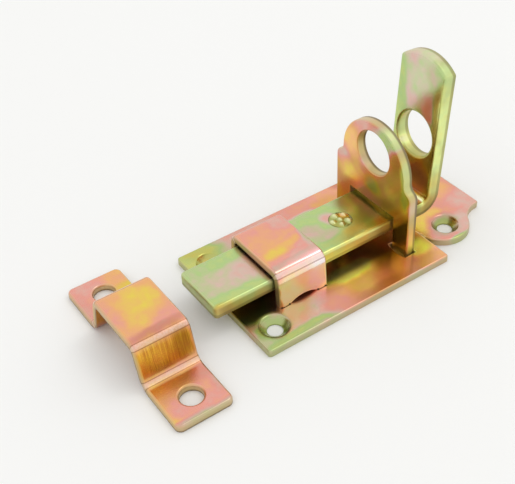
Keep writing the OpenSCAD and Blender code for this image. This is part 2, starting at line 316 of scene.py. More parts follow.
# %% Folding a blank
CUT_SNAP = 0.0001 * MM


def fold_plan(path, radii):
    """Bends as (distance along the flat blank, turn, middle radius), and the blank's length, in mm."""
    plan, reach, spent = [], 0, 0
    for (x0, y0), (x1, y1), (x2, y2), neutral in zip(path, path[1:], path[2:], radii):
        turn = atan2(y2 - y1, x2 - x1) - atan2(y1 - y0, x1 - x0)
        setback = neutral * tan(abs(turn) / 2)
        reach += hypot(x1 - x0, y1 - y0) - spent - setback
        plan.append((reach, turn, neutral))
        reach += neutral * abs(turn)
        spent = setback
    (x0, y0), (x1, y1) = path[-2:]
    return plan, reach + hypot(x1 - x0, y1 - y0) - spent


def fold(bm, plan, axis, sides=(1, -1), start=0):
    """Folds a blank along its x (axis 0) or y (axis 1), on one or both sides of start, in mm."""
    stretch = bm.verts.layers.float.new("stretch")
    across = Vector((1 - axis, axis, 0))
    for side in sides:
        for reach, turn, neutral in reversed(plan):
            radius = neutral * MM
            line = (start * side + reach) * MM
            arc = radius * abs(turn)
            steps = max(2, round(degrees(abs(turn)) / ARC_STEP))
            for k in range(steps + 1):
                bmesh.ops.bisect_plane(bm, geom=bm.verts[:] + bm.edges[:] + bm.faces[:], dist=CUT_SNAP,
                                       plane_co=across * side * (line + arc * k / steps), plane_no=across)
            up = 1 if turn > 0 else -1
            for v in bm.verts:
                past = v.co[axis] * side - line
                if past <= 0:
                    continue
                if past < arc:
                    v[stretch] = sin(pi * past / arc) * min(1, abs(turn))
                angle = min(past / radius, abs(turn))
                straight = past - angle * radius
                inner = radius - v.co.z * up
                v.co[axis] = side * (line + inner * sin(angle) + straight * cos(angle))
                v.co.z = up * (radius - inner * cos(angle) + straight * sin(angle))


print("a 10 by 10 mm angle takes", round(fold_plan([(0, 0), (10, 0), (10, 10)], (2,))[1], 2), "mm of strip")

# %% [markdown]
# ## Handing a piece over
# Every finished piece becomes one mesh at the origin, with its place in its vertices. It rides on
# the CAD body that carries it, stands for its CAD node, and is smooth shaded: a Weighted Normal
# modifier keeps the large flats flat and lets only the small roundings turn the light.

# %% Handing a piece over
def hand_over(name, bm, material, node):
    """Makes the mesh object, gives it its finish and ties it to the CAD node that it stands for."""
    bmesh.ops.recalc_face_normals(bm, faces=bm.faces[:])
    is_closed = all(len(edge.link_faces) == 2 for edge in bm.edges)
    volume = bm.calc_volume() / MM ** 3
    mesh = bpy.data.meshes.new(name)
    bm.to_mesh(mesh)
    bm.free()
    mesh.shade_smooth()
    mesh.materials.append(material)
    piece = bpy.data.objects.new(name, mesh)
    bpy.context.scene.collection.objects.link(piece)
    piece.modifiers.new("flats", "WEIGHTED_NORMAL")
    body = next(b for b, nodes in frame["record"]["behaviour"]["bodies"].items() if node in nodes)
    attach(piece, body)
    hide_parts(node)
    print(f"{name}: {len(mesh.polygons)} faces, closed {is_closed}, {volume:.0f} mm3, on body {body}")
    return piece


# %% [markdown]
# ## Yellow zinc passivate
# All six pieces are mild steel, zinc plated and dipped in yellow chromate. The film it leaves is
# clear and less than a thousandth of a millimetre thick, so light that goes through it and back
# interferes: the colour only tells how thick the film is there. As it grows, the colour runs from
# yellow through orange, salmon and lilac to green, and round again. So the material makes one
# number, the film's order, and looks its colour up in a ramp that closes on itself. A second number,
# its depth, says how brown it turned where the bath lingered, or, below zero, how thin and pale it
# stayed. Soft noise lets both drift, and listed patches set the zones that the bath left. Some
# patches paint light and shade in as well: where they make the film deeper it is painted shade, and
# where they make it paler it is painted light, in one place a painted reflection.

# %% The film's order and depth
CLOUD_MM = 14
WANDER_MM = 3
NOISE_LOW = 0.3
NOISE_HIGH = 0.7
PATCH_OUTSIDE = 1.5
PATCH_INSIDE = 0.35


def film_state(tree, place, order, clouds, depth, patches):
    """The film's order and depth as a vector: cloudy at first, with listed patches on top."""
    drift = add_node(tree, "ShaderNodeTexNoise", {"Vector": place, "Scale": 1 / CLOUD_MM, "Detail": 3})
    drift = add_node(tree, "ShaderNodeVectorMath", {0: drift.outputs["Color"], 1: (0.5, 0.5, 0.5)},
                     operation="SUBTRACT")
    wandered = add_node(tree, "ShaderNodeVectorMath", {0: drift, 1: (WANDER_MM * 2,) * 3, 2: place},
                        operation="MULTIPLY_ADD")
    cloudy = add_node(tree, "ShaderNodeTexNoise", {"Vector": place, "Scale": 1 / CLOUD_MM, "Detail": 4})
    cloudy = add_node(tree, "ShaderNodeMapRange", {
        "Value": cloudy, "From Min": NOISE_LOW, "From Max": NOISE_HIGH,
        "To Min": order - clouds, "To Max": order + clouds})
    state = add_node(tree, "ShaderNodeCombineXYZ", {"X": cloudy, "Y": depth})
    for u, v, half_u, half_v, patch_order, patch_depth in patches:
        away = add_node(tree, "ShaderNodeVectorMath", {0: wandered, 1: (u, v, 0)}, operation="SUBTRACT")
        away = add_node(tree, "ShaderNodeVectorMath", {0: away, 1: (1 / half_u, 1 / half_v, 0)},
                        operation="MULTIPLY")
        away = add_node(tree, "ShaderNodeVectorMath", {0: away}, operation="LENGTH").outputs["Value"]
        share = add_node(tree, "ShaderNodeMapRange",
                         {"Value": away, "From Min": PATCH_OUTSIDE, "From Max": PATCH_INSIDE},
                         interpolation_type="SMOOTHSTEP")
        state = add_node(tree, "ShaderNodeMix",
                         {"Factor": share, "A": state, "B": (patch_order, patch_depth, 0)},
                         data_type="VECTOR")
    return state


print("clouds of", CLOUD_MM, "mm; patches stray by up to", WANDER_MM, "mm")

# %% [markdown]
# The order becomes a colour in a ramp that wraps round, after a fine noise has broken it up. The
# depth is the exponent of a brown that is multiplied in, so a depth of one is that brown, none is
# white, and less than none makes the film paler. The same brown also makes the painted shade.
# Undersides get painted shade: the lower part of each blank's thickness is made deeper, so they
# come out darker.

# %% The film's colours
# yellow, orange, salmon, lilac, green, yellow green and yellow again
FILM_COLOURS = ((0.00, "#e8cd5c"), (0.17, "#ecb277"), (0.33, "#e8a193"), (0.50, "#d8bbac"),
                (0.67, "#b3cc88"), (0.83, "#cfd37c"), (1.00, "#e8cd5c"))
# This brown serves both the browner film and the painted shade.
FILM_BROWN_AND_SHADE = "#c3b499"
FINE_MM = 2.5
FINE_ORDER = 0.13
# Painted shade on undersides: depth added towards the bottom of each blank's thickness, in mm.
UNDERSIDE_SHADE_START = -0.4
UNDERSIDE_SHADE_END = -0.8
UNDERSIDE_SHADE_DEPTH = 0.6


def film_colour(tree, place, height, film_order, film_and_painted_depth):
    """The colour of a film of the given order and depth."""
    fine = add_node(tree, "ShaderNodeTexNoise", {"Vector": place, "Scale": 1 / FINE_MM, "Detail": 4})
    fine = add_node(tree, "ShaderNodeMapRange",
                    {"Value": fine, "To Min": -FINE_ORDER, "To Max": FINE_ORDER})
    film_order = add_node(tree, "ShaderNodeMath", {0: film_order, 1: fine}, operation="ADD")
    film_order = add_node(tree, "ShaderNodeMath", {0: film_order}, operation="FRACT")
    ramp = add_node(tree, "ShaderNodeValToRGB", {"Fac": film_order})
    for stop, _ in FILM_COLOURS[1:-1]:
        ramp.color_ramp.elements.new(stop)
    for element, (stop, hex_colour) in zip(ramp.color_ramp.elements, FILM_COLOURS):
        element.position = stop
        element.color = linear(hex_colour)
    # Painted shade: the lower part of the blank's thickness is made deeper.
    underside_shade = add_node(tree, "ShaderNodeMapRange", {
        "Value": height, "From Min": UNDERSIDE_SHADE_START, "From Max": UNDERSIDE_SHADE_END, "To Max": UNDERSIDE_SHADE_DEPTH})
    film_and_painted_depth = add_node(tree, "ShaderNodeMath", {0: film_and_painted_depth, 1: underside_shade}, operation="ADD")
    brown = add_node(tree, "ShaderNodeGamma", {"Color": linear(FILM_BROWN_AND_SHADE), "Gamma": film_and_painted_depth})
    return add_node(tree, "ShaderNodeMix", {"Factor": 1.0, "A": ramp.outputs["Color"], "B": brown},
                    data_type="RGBA", blend_type="MULTIPLY", clamp_result=True)


print("film colours:", len(FILM_COLOURS), "stops")

# %% [markdown]
# A bending tool that slides down a leg scratches fine streaks into the film and rubs it to a clear
# yellow. The streaks are noise, about 0.3 mm wide and drawn out to 14 mm along the leg. Real ones
# are finer, but would not show at this size.

# %% The streaks of the bending tool
STREAK_MM = (0.3, 14, 1)
STREAK_ORDER = 0.07
STREAK_DEPTH = 0.6
STREAK_FADE_MM = 1
RUBBED = "#fff2a6"


def streak(tree, place, film_order, film_and_painted_depth, start, end):
    """Streaks the film from start to end along y, on both halves, and says where it is rubbed."""
    streaks = add_node(tree, "ShaderNodeVectorMath", {0: place, 1: STREAK_MM}, operation="DIVIDE")
    streaks = add_node(tree, "ShaderNodeTexNoise", {"Vector": streaks, "Scale": 1.0, "Detail": 4})
    streaks = add_node(tree, "ShaderNodeMapRange", {
        "Value": streaks, "From Min": NOISE_LOW, "From Max": NOISE_HIGH, "To Min": -1, "To Max": 1})
    along = add_node(tree, "ShaderNodeSeparateXYZ", {"Vector": place}).outputs["Y"]
    reach = add_node(tree, "ShaderNodeMath", {0: along}, operation="ABSOLUTE")
    reach = add_node(tree, "ShaderNodeMath", {0: reach, 1: (start + end) / 2}, operation="SUBTRACT")
    reach = add_node(tree, "ShaderNodeMath", {0: reach}, operation="ABSOLUTE")
    half = (end - start) / 2
    rubbed = add_node(tree, "ShaderNodeMapRange",
                      {"Value": reach, "From Min": half, "From Max": half - STREAK_FADE_MM})
    streaks = add_node(tree, "ShaderNodeMath", {0: streaks, 1: rubbed}, operation="MULTIPLY")
    film_order = add_node(tree, "ShaderNodeMath", {0: streaks, 1: STREAK_ORDER, 2: film_order},
                          operation="MULTIPLY_ADD")
    film_and_painted_depth = add_node(tree, "ShaderNodeMath", {0: streaks, 1: STREAK_DEPTH, 2: film_and_painted_depth},
                          operation="MULTIPLY_ADD")
    return film_order, film_and_painted_depth, rubbed


print("streaks:", STREAK_MM[0], "mm wide and", STREAK_MM[1], "mm long")

# %% [markdown]
# A press shears the upper part of an edge clean and then tears the rest. The clean part is smooth
# and keeps a thin, pale film, and the torn part is rough, dull and dark. The blank's rim attribute
# says where the edges are, and the height on the blank tells the two parts apart.

# %% Sheared edges
TEAR_START = -0.35
TEAR_END = -0.75
TORN = "#6f5f4c"


def shear(tree, colour, rim, height, edge, edge_share, torn):
    """Lays the edge's own colour over the film, and the torn part over both."""
    sheared = add_node(tree, "ShaderNodeMath", {0: rim, 1: edge_share}, operation="MULTIPLY")
    colour = add_node(tree, "ShaderNodeMix", {"Factor": sheared, "A": colour, "B": linear(edge)},
                      data_type="RGBA")
    tear = add_node(tree, "ShaderNodeMapRange", {
        "Value": height, "From Min": TEAR_START, "From Max": TEAR_END, "To Max": torn})
    tear = add_node(tree, "ShaderNodeMath", {0: rim, 1: tear}, operation="MULTIPLY")
    return add_node(tree, "ShaderNodeMix", {"Factor": tear, "A": colour, "B": linear(TORN)},
                    data_type="RGBA")


print("torn from", TEAR_START, "mm down")

# %% [markdown]
# The outer skin of a bend was stretched, which crazed the film: a band along its middle turns pale
# in fine specks. That pale band is partly crazing and partly a painted highlight. The edges of the
# bending tool pressed a thin dark line on each side of the band; these lines are partly those marks
# and partly a painted reflection of the dark surroundings beside the highlight. The stretch
# attribute rises from 0 at both ends of a bend to 1 in its middle, or to less where the bend is a
# slight one.

# %% Crazed bends
# Crazed bends: a pale band that is partly a painted highlight, and dark lines that are partly painted
# reflection.
CRAZED_AND_HIGHLIGHT = "#f0d9cd"
CRAZE_FULL = 0.97
SPECK_MM = 0.3
SPECK_LOW = 0.4
SPECK_HIGH = 0.6
SPECK_LEAST = 0.55
PRESSED_AND_REFLECTED_LINE = "#8a5f48"
PRESSED_HALF = 0.06


def craze_and_highlight(tree, colour, place, stretch, crazed_highlight_band, pressing_and_reflection):
    """Whitens the middle of each bend, partly a painted highlight, and draws a line on both sides, partly
    painted reflection; gives colour and specks.
    """
    band_edge, amount = crazed_highlight_band
    bent = add_node(tree, "ShaderNodeMapRange", {
        "Value": stretch, "From Min": band_edge, "From Max": CRAZE_FULL, "To Max": amount})
    specks = add_node(tree, "ShaderNodeTexNoise", {"Vector": place, "Scale": 1 / SPECK_MM, "Detail": 2})
    specks = add_node(tree, "ShaderNodeMapRange", {
        "Value": specks, "From Min": SPECK_LOW, "From Max": SPECK_HIGH, "To Min": SPECK_LEAST})
    specks = add_node(tree, "ShaderNodeMath", {0: specks, 1: bent}, operation="MULTIPLY")
    colour = add_node(tree, "ShaderNodeMix", {"Factor": specks, "A": colour, "B": linear(CRAZED_AND_HIGHLIGHT)},
                      data_type="RGBA")
    line = add_node(tree, "ShaderNodeMath", {0: stretch, 1: band_edge, 2: PRESSED_HALF},
                    operation="COMPARE")
    line = add_node(tree, "ShaderNodeMath", {0: line, 1: pressing_and_reflection}, operation="MULTIPLY")
    colour = add_node(tree, "ShaderNodeMix", {"Factor": line, "A": colour, "B": linear(PRESSED_AND_REFLECTED_LINE)},
                      data_type="RGBA")
    return colour, specks


print("specks of", SPECK_MM, "mm")

# %% [markdown]
# The finish is then put together. The zinc is fully metallic and has a satin roughness of about a
# quarter, a little more on sheared edges and in the specks. Two bumps finish it: the faint waviness
# of rolled sheet, lumps of about 9 mm, and the grain that the zinc bath leaves. Real grain measures
# a few hundredths of a millimetre, and is drawn at half a millimetre, so that it shows.

# %% The passivated finish
SATIN = 0.25
EDGE_DULL = 0.18
SPECK_DULL = 0.22
WAVE_MM = 9
WAVE_HEIGHT = 0.15
GRAIN_MM = 0.5
GRAIN_HEIGHT = 0.012


def yellow_zinc(name, order, clouds, depth, edge, patches, edge_share=0.75, torn=0.7,
                crazed_highlight_band=(0.55, 0.0), pressing_and_reflection=0.0, streaked=None):
    """Passivated zinc from its film, edge colour and patches; the crazed band, partly a painted highlight,
    is given by its edge and amount.
    """
    material = bpy.data.materials.new(name)
    material.use_nodes = True
    tree = material.node_tree
    tree.nodes.clear()
    place = add_node(tree, "ShaderNodeAttribute", attribute_name="blank").outputs["Vector"]
    rim = add_node(tree, "ShaderNodeAttribute", attribute_name="rim").outputs["Fac"]
    stretch = add_node(tree, "ShaderNodeAttribute", attribute_name="stretch").outputs["Fac"]
    height = add_node(tree, "ShaderNodeSeparateXYZ", {"Vector": place}).outputs["Z"]

    state = film_state(tree, place, order, clouds, depth, patches)
    state = add_node(tree, "ShaderNodeSeparateXYZ", {"Vector": state})
    film_order, film_and_painted_depth, rubbed = state.outputs["X"], state.outputs["Y"], 0
    if streaked:
        film_order, film_and_painted_depth, rubbed = streak(tree, place, film_order, film_and_painted_depth, *streaked)
    colour = film_colour(tree, place, height, film_order, film_and_painted_depth)
    colour = add_node(tree, "ShaderNodeMix", {"Factor": rubbed, "A": colour, "B": linear(RUBBED)},
                      data_type="RGBA", blend_type="MULTIPLY")
    colour = shear(tree, colour, rim, height, edge, edge_share, torn)
    colour, specks = craze_and_highlight(tree, colour, place, stretch, crazed_highlight_band, pressing_and_reflection)

    waves = add_node(tree, "ShaderNodeTexNoise", {"Vector": place, "Scale": 1 / WAVE_MM, "Detail": 1})
    grain = add_node(tree, "ShaderNodeTexNoise", {"Vector": place, "Scale": 1 / GRAIN_MM, "Detail": 2})
    bump = add_node(tree, "ShaderNodeBump", {"Height": waves, "Distance": WAVE_HEIGHT * MM})
    bump = add_node(tree, "ShaderNodeBump",
                    {"Height": grain, "Distance": GRAIN_HEIGHT * MM, "Normal": bump})
    dull = add_node(tree, "ShaderNodeMath", {0: rim, 1: EDGE_DULL, 2: SATIN}, operation="MULTIPLY_ADD")
    dull = add_node(tree, "ShaderNodeMath", {0: specks, 1: SPECK_DULL, 2: dull}, operation="MULTIPLY_ADD")
    shader = add_node(tree, "ShaderNodeBsdfPrincipled",
                      {"Base Color": colour, "Metallic": 1.0, "Roughness": dull, "Normal": bump})
    add_node(tree, "ShaderNodeOutputMaterial", {"Surface": shader})
    print(f"{name}: {len(patches)} patches, {len(tree.nodes)} nodes")
    return material


# %% [markdown]
# ## The base plate
# The plate is 2 mm sheet with a shaped tail: two round lobes carry the tail screws, and a hollow
# leads from each lobe into the tongue. The tail is drawn as the press tool was, from circles: lobe
# and hollow touch where the line between their centres crosses them.

# %% The base plate's outline
(plate_front, _, _), (plate_tail, plate_half, plate_t) = box_mm("base_plate")
PLATE_BODY = 56.4
PLATE_CORNER = 0.8
TONGUE_HALF = 9.5
LOBE_R = 7.8
LOBE_CENTRE = (24.9, 9.5)
HOLLOW_R = 7.6

body_end = plate_front + PLATE_BODY
lobe_x, lobe_y = LOBE_CENTRE
hollow_y = TONGUE_HALF + HOLLOW_R
hollow_x = lobe_x + sqrt((LOBE_R + HOLLOW_R) ** 2 - (hollow_y - lobe_y) ** 2)
lobe_start = atan2(sqrt(LOBE_R ** 2 - (body_end - lobe_x) ** 2), body_end - lobe_x)
lobe_end = atan2(hollow_y - lobe_y, hollow_x - lobe_x)

plate = bmesh.new()
draw(plate, (plate_front, 0), [
    (plate_front, plate_half - PLATE_CORNER),
    (plate_front + PLATE_CORNER, plate_half - PLATE_CORNER, -90),
    (body_end - PLATE_CORNER, plate_half),
    (body_end - PLATE_CORNER, plate_half - PLATE_CORNER, -90),
    (body_end, lobe_y + LOBE_R * sin(lobe_start)),
    (lobe_x, lobe_y, degrees(lobe_end - lobe_start)),
    (hollow_x, hollow_y, 90 - degrees(lobe_end)),
    (plate_tail - PLATE_CORNER, TONGUE_HALF),
    (plate_tail - PLATE_CORNER, TONGUE_HALF - PLATE_CORNER, -90),
    (plate_tail, 0)])
mirror_outline(plate, "Y")
print("plate outline:", len(plate.edges), "edges")

# %% [markdown]
# The strap and the lug are staked through slots, which are a hair wider than the tenons. The lug's
# slots have one wall bowed out, which shows as a dark lens at its foot. Each screw hole is drawn
# wide here, and gets its pressed funnel next.

# %% Slots and holes in the base plate
(strap_x0, _, _), (strap_x1, strap_half, strap_top) = box_mm("guide_strap")
(lug_x0, _, _), (lug_x1, lug_half, _) = box_mm("padlock_lug")
SHEET_T = 2
TENON_SETBACK = 0.5
TENON_L = 2.4
STAKE_GAP = 0.12
LUG_LEG = 5.9
SLOT_STEP = 0.5
SLOT_BOW = 0.5
DISH_R = 4.4
screws = [(place[0], side * dims["spacing_y_mm"] / 2)
          for place, dims in (mount("front_screws"), mount("tail_screws")) for side in (-1, 1)]

tenon_starts = [strap_x0 + TENON_SETBACK, strap_x1 - TENON_SETBACK - TENON_L]
slot_half = LUG_LEG / 2 + STAKE_GAP
bow_r = (slot_half ** 2 + SLOT_BOW ** 2) / (2 * SLOT_BOW)
bow_turn = 2 * degrees(asin(slot_half / bow_r))
for side in (-1, 1):
    strap_foot = side * (strap_half - SHEET_T / 2)
    for x in tenon_starts:
        x0, x1 = x - STAKE_GAP, x + TENON_L + STAKE_GAP
        y0, y1 = (strap_foot + s * (SHEET_T / 2 + STAKE_GAP) for s in (-1, 1))
        draw(plate, (x0, y0), [(x1, y0), (x1, y1), (x0, y1), (x0, y0)])
    leg_y = side * (lug_half - LUG_LEG / 2)
    front = lug_x0 - SLOT_STEP
    draw(plate, (front, leg_y - slot_half), [
        (lug_x1 + STAKE_GAP, leg_y - slot_half),
        (lug_x1 + STAKE_GAP, leg_y + slot_half),
        (front, leg_y + slot_half),
        (front - SLOT_BOW + bow_r, leg_y, bow_turn)])
for x, y in screws:
    punch(plate, x, y, DISH_R)
bmesh.ops.remove_doubles(plate, verts=plate.verts[:], dist=ENDS_MERGE)
print("slots and holes:", len(plate.edges), "edges")

# %% [markdown]
# The blank is stamped, with a wide rounding on its upper rim, as sheared sheet has. Staking closed
# the strap's slots round their tenons, so the rounding there is drawn in to a third, vertex by
# vertex, measured from the slot's own rectangle. Left wide, it would show as a dark notch.

# %% Stamping the base plate
SHEET_ROUND = 0.5
SHEET_BURR = 0.15
SLOT_TIGHT = 0.3

stamp(plate, plate_t, SHEET_ROUND, SHEET_BURR)
bmesh.ops.translate(plate, vec=(0, 0, plate_t / 2 * MM), verts=plate.verts[:])
plate_rim = plate.verts.layers.float["rim"]
for side in (-1, 1):
    for x in tenon_starts:
        slot_x = x + TENON_L / 2
        slot_y = side * (strap_half - SHEET_T / 2)
        for v in plate.verts:
            off_x, off_y = v.co.x / MM - slot_x, v.co.y / MM - slot_y
            near_x = max(-TENON_L / 2 - STAKE_GAP, min(TENON_L / 2 + STAKE_GAP, off_x))
            near_y = max(-SHEET_T / 2 - STAKE_GAP, min(SHEET_T / 2 + STAKE_GAP, off_y))
            if v.co.z > 0 and hypot(off_x - near_x, off_y - near_y) < 2 * SHEET_ROUND:
                v.co.x = (slot_x + near_x + (off_x - near_x) * SLOT_TIGHT) * MM
                v.co.y = (slot_y + near_y + (off_y - near_y) * SLOT_TIGHT) * MM
                if v[plate_rim] < 1:
                    v.co.z = plate_t * MM - (plate_t * MM - v.co.z) * SLOT_TIGHT
print("stamped plate:", len(plate.faces), "faces")

# %% [markdown]
# A thin plate has no room for a drilled countersink, so the tool presses a funnel: a shallow dish,
# a rounded lip and a cone down to the bore. The funnel is turned from a short profile of (radius,
# height) with spin, and takes the place of the plain wall of its hole. Its cone was rubbed by the
# tool, so it counts a little as a sheared rim.

# %% Pressing the screw funnels
FUNNEL = ((DISH_R + SHEET_ROUND, 2.0), (4.2, 1.97), (3.85, 1.9), (3.62, 1.78), (3.5, 1.62), (3.3, 1.4),
          (2.85, 1.0), (2.4, 0.62), (2.12, 0.45), (2.02, 0.32), (2.0, 0.12), (2.1, 0),
          (DISH_R + SHEET_BURR, 0))
FUNNEL_CONE = slice(5, -2)
FUNNEL_RIM = 0.15
WALL_REACH = DISH_R + SHEET_ROUND + 0.05
SPIN_STEPS = 60
SPIN_MERGE = 0.01 * MM

for x, y in screws:
    walls = [f for f in plate.faces
             if all(hypot(v.co.x / MM - x, v.co.y / MM - y) < WALL_REACH for v in f.verts)]
    bmesh.ops.delete(plate, geom=walls, context="FACES")
    top_r, top_z = FUNNEL[0]
    pen = plate.verts.new(((x + top_r) * MM, y * MM, top_z * MM))
    profile = [pen]
    for r, z in FUNNEL[1:]:
        pen = bmesh.ops.extrude_vert_indiv(plate, verts=[pen])["verts"][0]
        pen.co = ((x + r) * MM, y * MM, z * MM)
        profile.append(pen)
    for pen in profile[FUNNEL_CONE]:
        pen[plate_rim] = FUNNEL_RIM
    lines = list({edge for pen in profile for edge in pen.link_edges})
    bmesh.ops.spin(plate, geom=profile + lines, cent=(x * MM, y * MM, 0), axis=(0, 0, 1), dvec=(0, 0, 0),
                   angle=2 * pi, steps=SPIN_STEPS, use_merge=True)
bmesh.ops.remove_doubles(plate, verts=plate.verts[:], dist=SPIN_MERGE)
keep_blank_places(plate)
print("plate with funnels:", len(plate.faces), "faces")

# %% [markdown]
# The plate is salmon on the whole. Green gathers at the end under the bolt's tip and in the screw
# funnels, where a deeper depth also paints shade in. The yellow beside the bar is a painted
# reflection of the bar's bright side, the pale yellow round the lug's foot is painted light, and the
# brown under and beside the bar is painted shade.
# Each patch is (u, v, half u, half v, order, depth), with its place and half sizes in mm on the blank.

# %% The base plate's finish
plate_patches = [
    (-34, 18, 9, 5, 0.85, 0.3), (-39, 12, 3, 9, 0.8, 0.1), (-18, 20, 9, 3, 0.4, 0.1),
    (8, 19, 6, 3, 0.27, 0), (0, 14.5, 13, 1.3, 0.62, 0), (6, 15.5, 5, 3, 0.16, 0.2),
    (15, 20.5, 4, 2, 0.28, 0.5), (-25, -15, 10, 6, 0.48, 0.2), (-38, -18, 4, 4, 0.6, 0.1),
    (-28, -20.4, 14, 1.5, 0.73, 0.2), (-5, -21.2, 25, 0.5, 0.58, 0.2), (-36, -2, 8, 9, 0.9, 0.8),
    (-14, -17, 6, 5, 0.3, 0.1), (-6, -14, 7, 5, 0.08, 0), (4, -12, 4, 5, 0.08, 0.9),
    (-7, -10, 9, 2.4, 0.0, -1.2), (-11, -4, 6, 3, 0.15, -0.6), (6, -5, 7, 4, 0.1, 0.4),
    (2, -17, 6, 4, 0.22, 0.2), (-3, -19.5, 7, 2, 0.2, 0.6), (14, -13, 5, 5, 0.0, -0.6),
    (12, -12.5, 3, 3.5, 0.0, -0.7), (13, -19, 6, 2.5, 0.2, 0), (21, -6.5, 5, 5, 0.04, 0),
    (25, -6, 3, 2, 0.08, 0), (33, 2, 4, 5, 0.19, 0), (36, -6, 5, 5, 0.42, 0), (30, -14, 5, 4, 0.46, 0),
    (25, -17.5, 5, 0.9, 0.75, 0.2), (25.2, -11, 3.6, 3.6, 0.72, 0.7), (25.2, -11, 2.2, 2.2, 0.76, 0.5),
    (-33, -14.5, 4, 4, 0.72, 0.3), (-37.5, -14, 2, 2.5, 0.76, 0.5), (39, 4, 0.6, 5, 0.6, 0.2)]
plate_zinc = yellow_zinc("yellow_zinc_on_pressed_sheet", 0.3, 0.12, 0.1, "#bdb98e", plate_patches)
hand_over("base_plate_sheet", plate, plate_zinc, "base_plate")

# %% [markdown]
# ## The guide strap
# A strip of the same sheet is folded twice into a bridge over the bar. Each leg ends in two tenons,
# which go through the plate and are staked behind it, with a shallow arch between them. Its blank
# is a quarter outline, mirrored twice. The legs lean out a little, so the tenons get a bend of their
# own where they enter the plate.

# %% The guide strap
STRAP_RADII = (2.0, 2.0)
STRAP_HEAD_HALF = 9.412
ARCH_HALF = 3.8
ARCH_H = 1.0
strap_mid_z = strap_top - SHEET_T / 2
strap_foot = strap_half - SHEET_T / 2
strap_path = [(0, strap_mid_z), (STRAP_HEAD_HALF, strap_mid_z), (strap_foot, plate_t), (strap_foot, 0)]
strap_plan, strap_end = fold_plan(strap_path, STRAP_RADII)
shoulder = strap_end - plate_t
edge_x = (strap_x1 - strap_x0) / 2
tenon_x = edge_x - TENON_SETBACK
arch_r = (ARCH_HALF ** 2 + ARCH_H ** 2) / (2 * ARCH_H)

strap = bmesh.new()
draw(strap, (-edge_x, 0), [
    (-edge_x, shoulder), (-tenon_x, shoulder), (-tenon_x, strap_end), (TENON_L - tenon_x, strap_end),
    (TENON_L - tenon_x, shoulder), (-ARCH_HALF, shoulder),
    (0, shoulder - ARCH_H + arch_r, degrees(asin(ARCH_HALF / arch_r)))])
mirror_outline(strap, "X")
mirror_outline(strap, "Y")
stamp(strap, SHEET_T, SHEET_ROUND, SHEET_BURR)
keep_blank_places(strap)
fold(strap, strap_plan, axis=1)
bmesh.ops.translate(strap, vec=((strap_x0 + strap_x1) / 2 * MM, 0, strap_mid_z * MM), verts=strap.verts[:])
print("strap blank:", round(2 * strap_end, 1), "mm long")

# %% [markdown]
# The strap is the pinkest piece, with an orange and yellow patch on its top. Its leg is painted
# paler, as painted light: the patches there have a depth below zero. A thin deep patch along the
# leg's left edge is painted shade.

# %% The guide strap's finish
strap_patches = [
    (-3, 1, 6, 4.5, 0.22, 0), (-2.5, -3, 5.5, 2, 0.05, 0), (2.5, -1.5, 3.5, 1.4, 0.1, 0),
    (5, 6, 3, 3, 0.4, 0), (7, 0, 1, 7, 0.55, 0.1), (-7, 0, 0.8, 10, 0.24, 0),
    (0, -7.8, 10, 1.3, 0.52, 0.35), (0, -14, 9, 6, 0.18, -0.9), (6, -13.5, 4, 5, 0.28, -1.2),
    (-5, -14, 3.5, 4, 0.13, -1.1), (-7.6, -14, 0.5, 4, 0.1, 1.0)]
strap_zinc = yellow_zinc("yellow_zinc_on_folded_strip", 0.31, 0.08, 0.0, "#cdb995", strap_patches,
                         crazed_highlight_band=(0.85, 0.75), pressing_and_reflection=0.5)
hand_over("guide_strap_sheet", strap, strap_zinc, "guide_strap")

# %% [markdown]
# ## The keeper
# The keeper goes on the door frame, and the bolt shoots into it. It is the same kind of bridge with
# sloped legs and screwed feet, so each half has two bends that turn opposite ways. The tool's nose
# made the upper one tighter than the lower one.

# %% The keeper
(keeper_x0, _, _), (keeper_x1, keeper_half, keeper_top) = box_mm("keeper")
KEEPER_RADII = (2.0, 3.6)
KEEPER_HEAD_HALF = 9.207
KEEPER_FOOT_START = 11.775
KEEPER_CORNER = 1.6
KEEPER_ROUND = 0.65
KEEPER_BORE_R = 2.85
KEEPER_HOLE_EDGE = 6.5
keeper_mid_z = keeper_top - SHEET_T / 2
keeper_path = [(0, keeper_mid_z), (KEEPER_HEAD_HALF, keeper_mid_z),
               (KEEPER_FOOT_START, SHEET_T / 2), (keeper_half, SHEET_T / 2)]
keeper_plan, keeper_end = fold_plan(keeper_path, KEEPER_RADII)
strip_half = (keeper_x1 - keeper_x0) / 2

keeper = bmesh.new()
draw(keeper, (-strip_half, 0), [
    (-strip_half, keeper_end - KEEPER_CORNER),
    (KEEPER_CORNER - strip_half, keeper_end - KEEPER_CORNER, -90),
    (0, keeper_end)])
mirror_outline(keeper, "X")
mirror_outline(keeper, "Y")
for side in (-1, 1):
    punch(keeper, 0, side * (keeper_end - KEEPER_HOLE_EDGE), KEEPER_BORE_R)
stamp(keeper, SHEET_T, KEEPER_ROUND, SHEET_BURR)
keep_blank_places(keeper)
fold(keeper, keeper_plan, axis=1)
bmesh.ops.translate(keeper, vec=((keeper_x0 + keeper_x1) / 2 * MM, 0, keeper_mid_z * MM),
                    verts=keeper.verts[:])
print("keeper blank:", round(2 * keeper_end, 1), "mm long")

# %% [markdown]
# The keeper's top is yellow in a salmon border, its feet are salmon, and the leg that the tool
# rubbed is the deepest orange on the object. Part of that deep orange is painted shade, for the
# darker surroundings that the leg mirrors. That leg runs from about 9 to 17 mm along the blank.

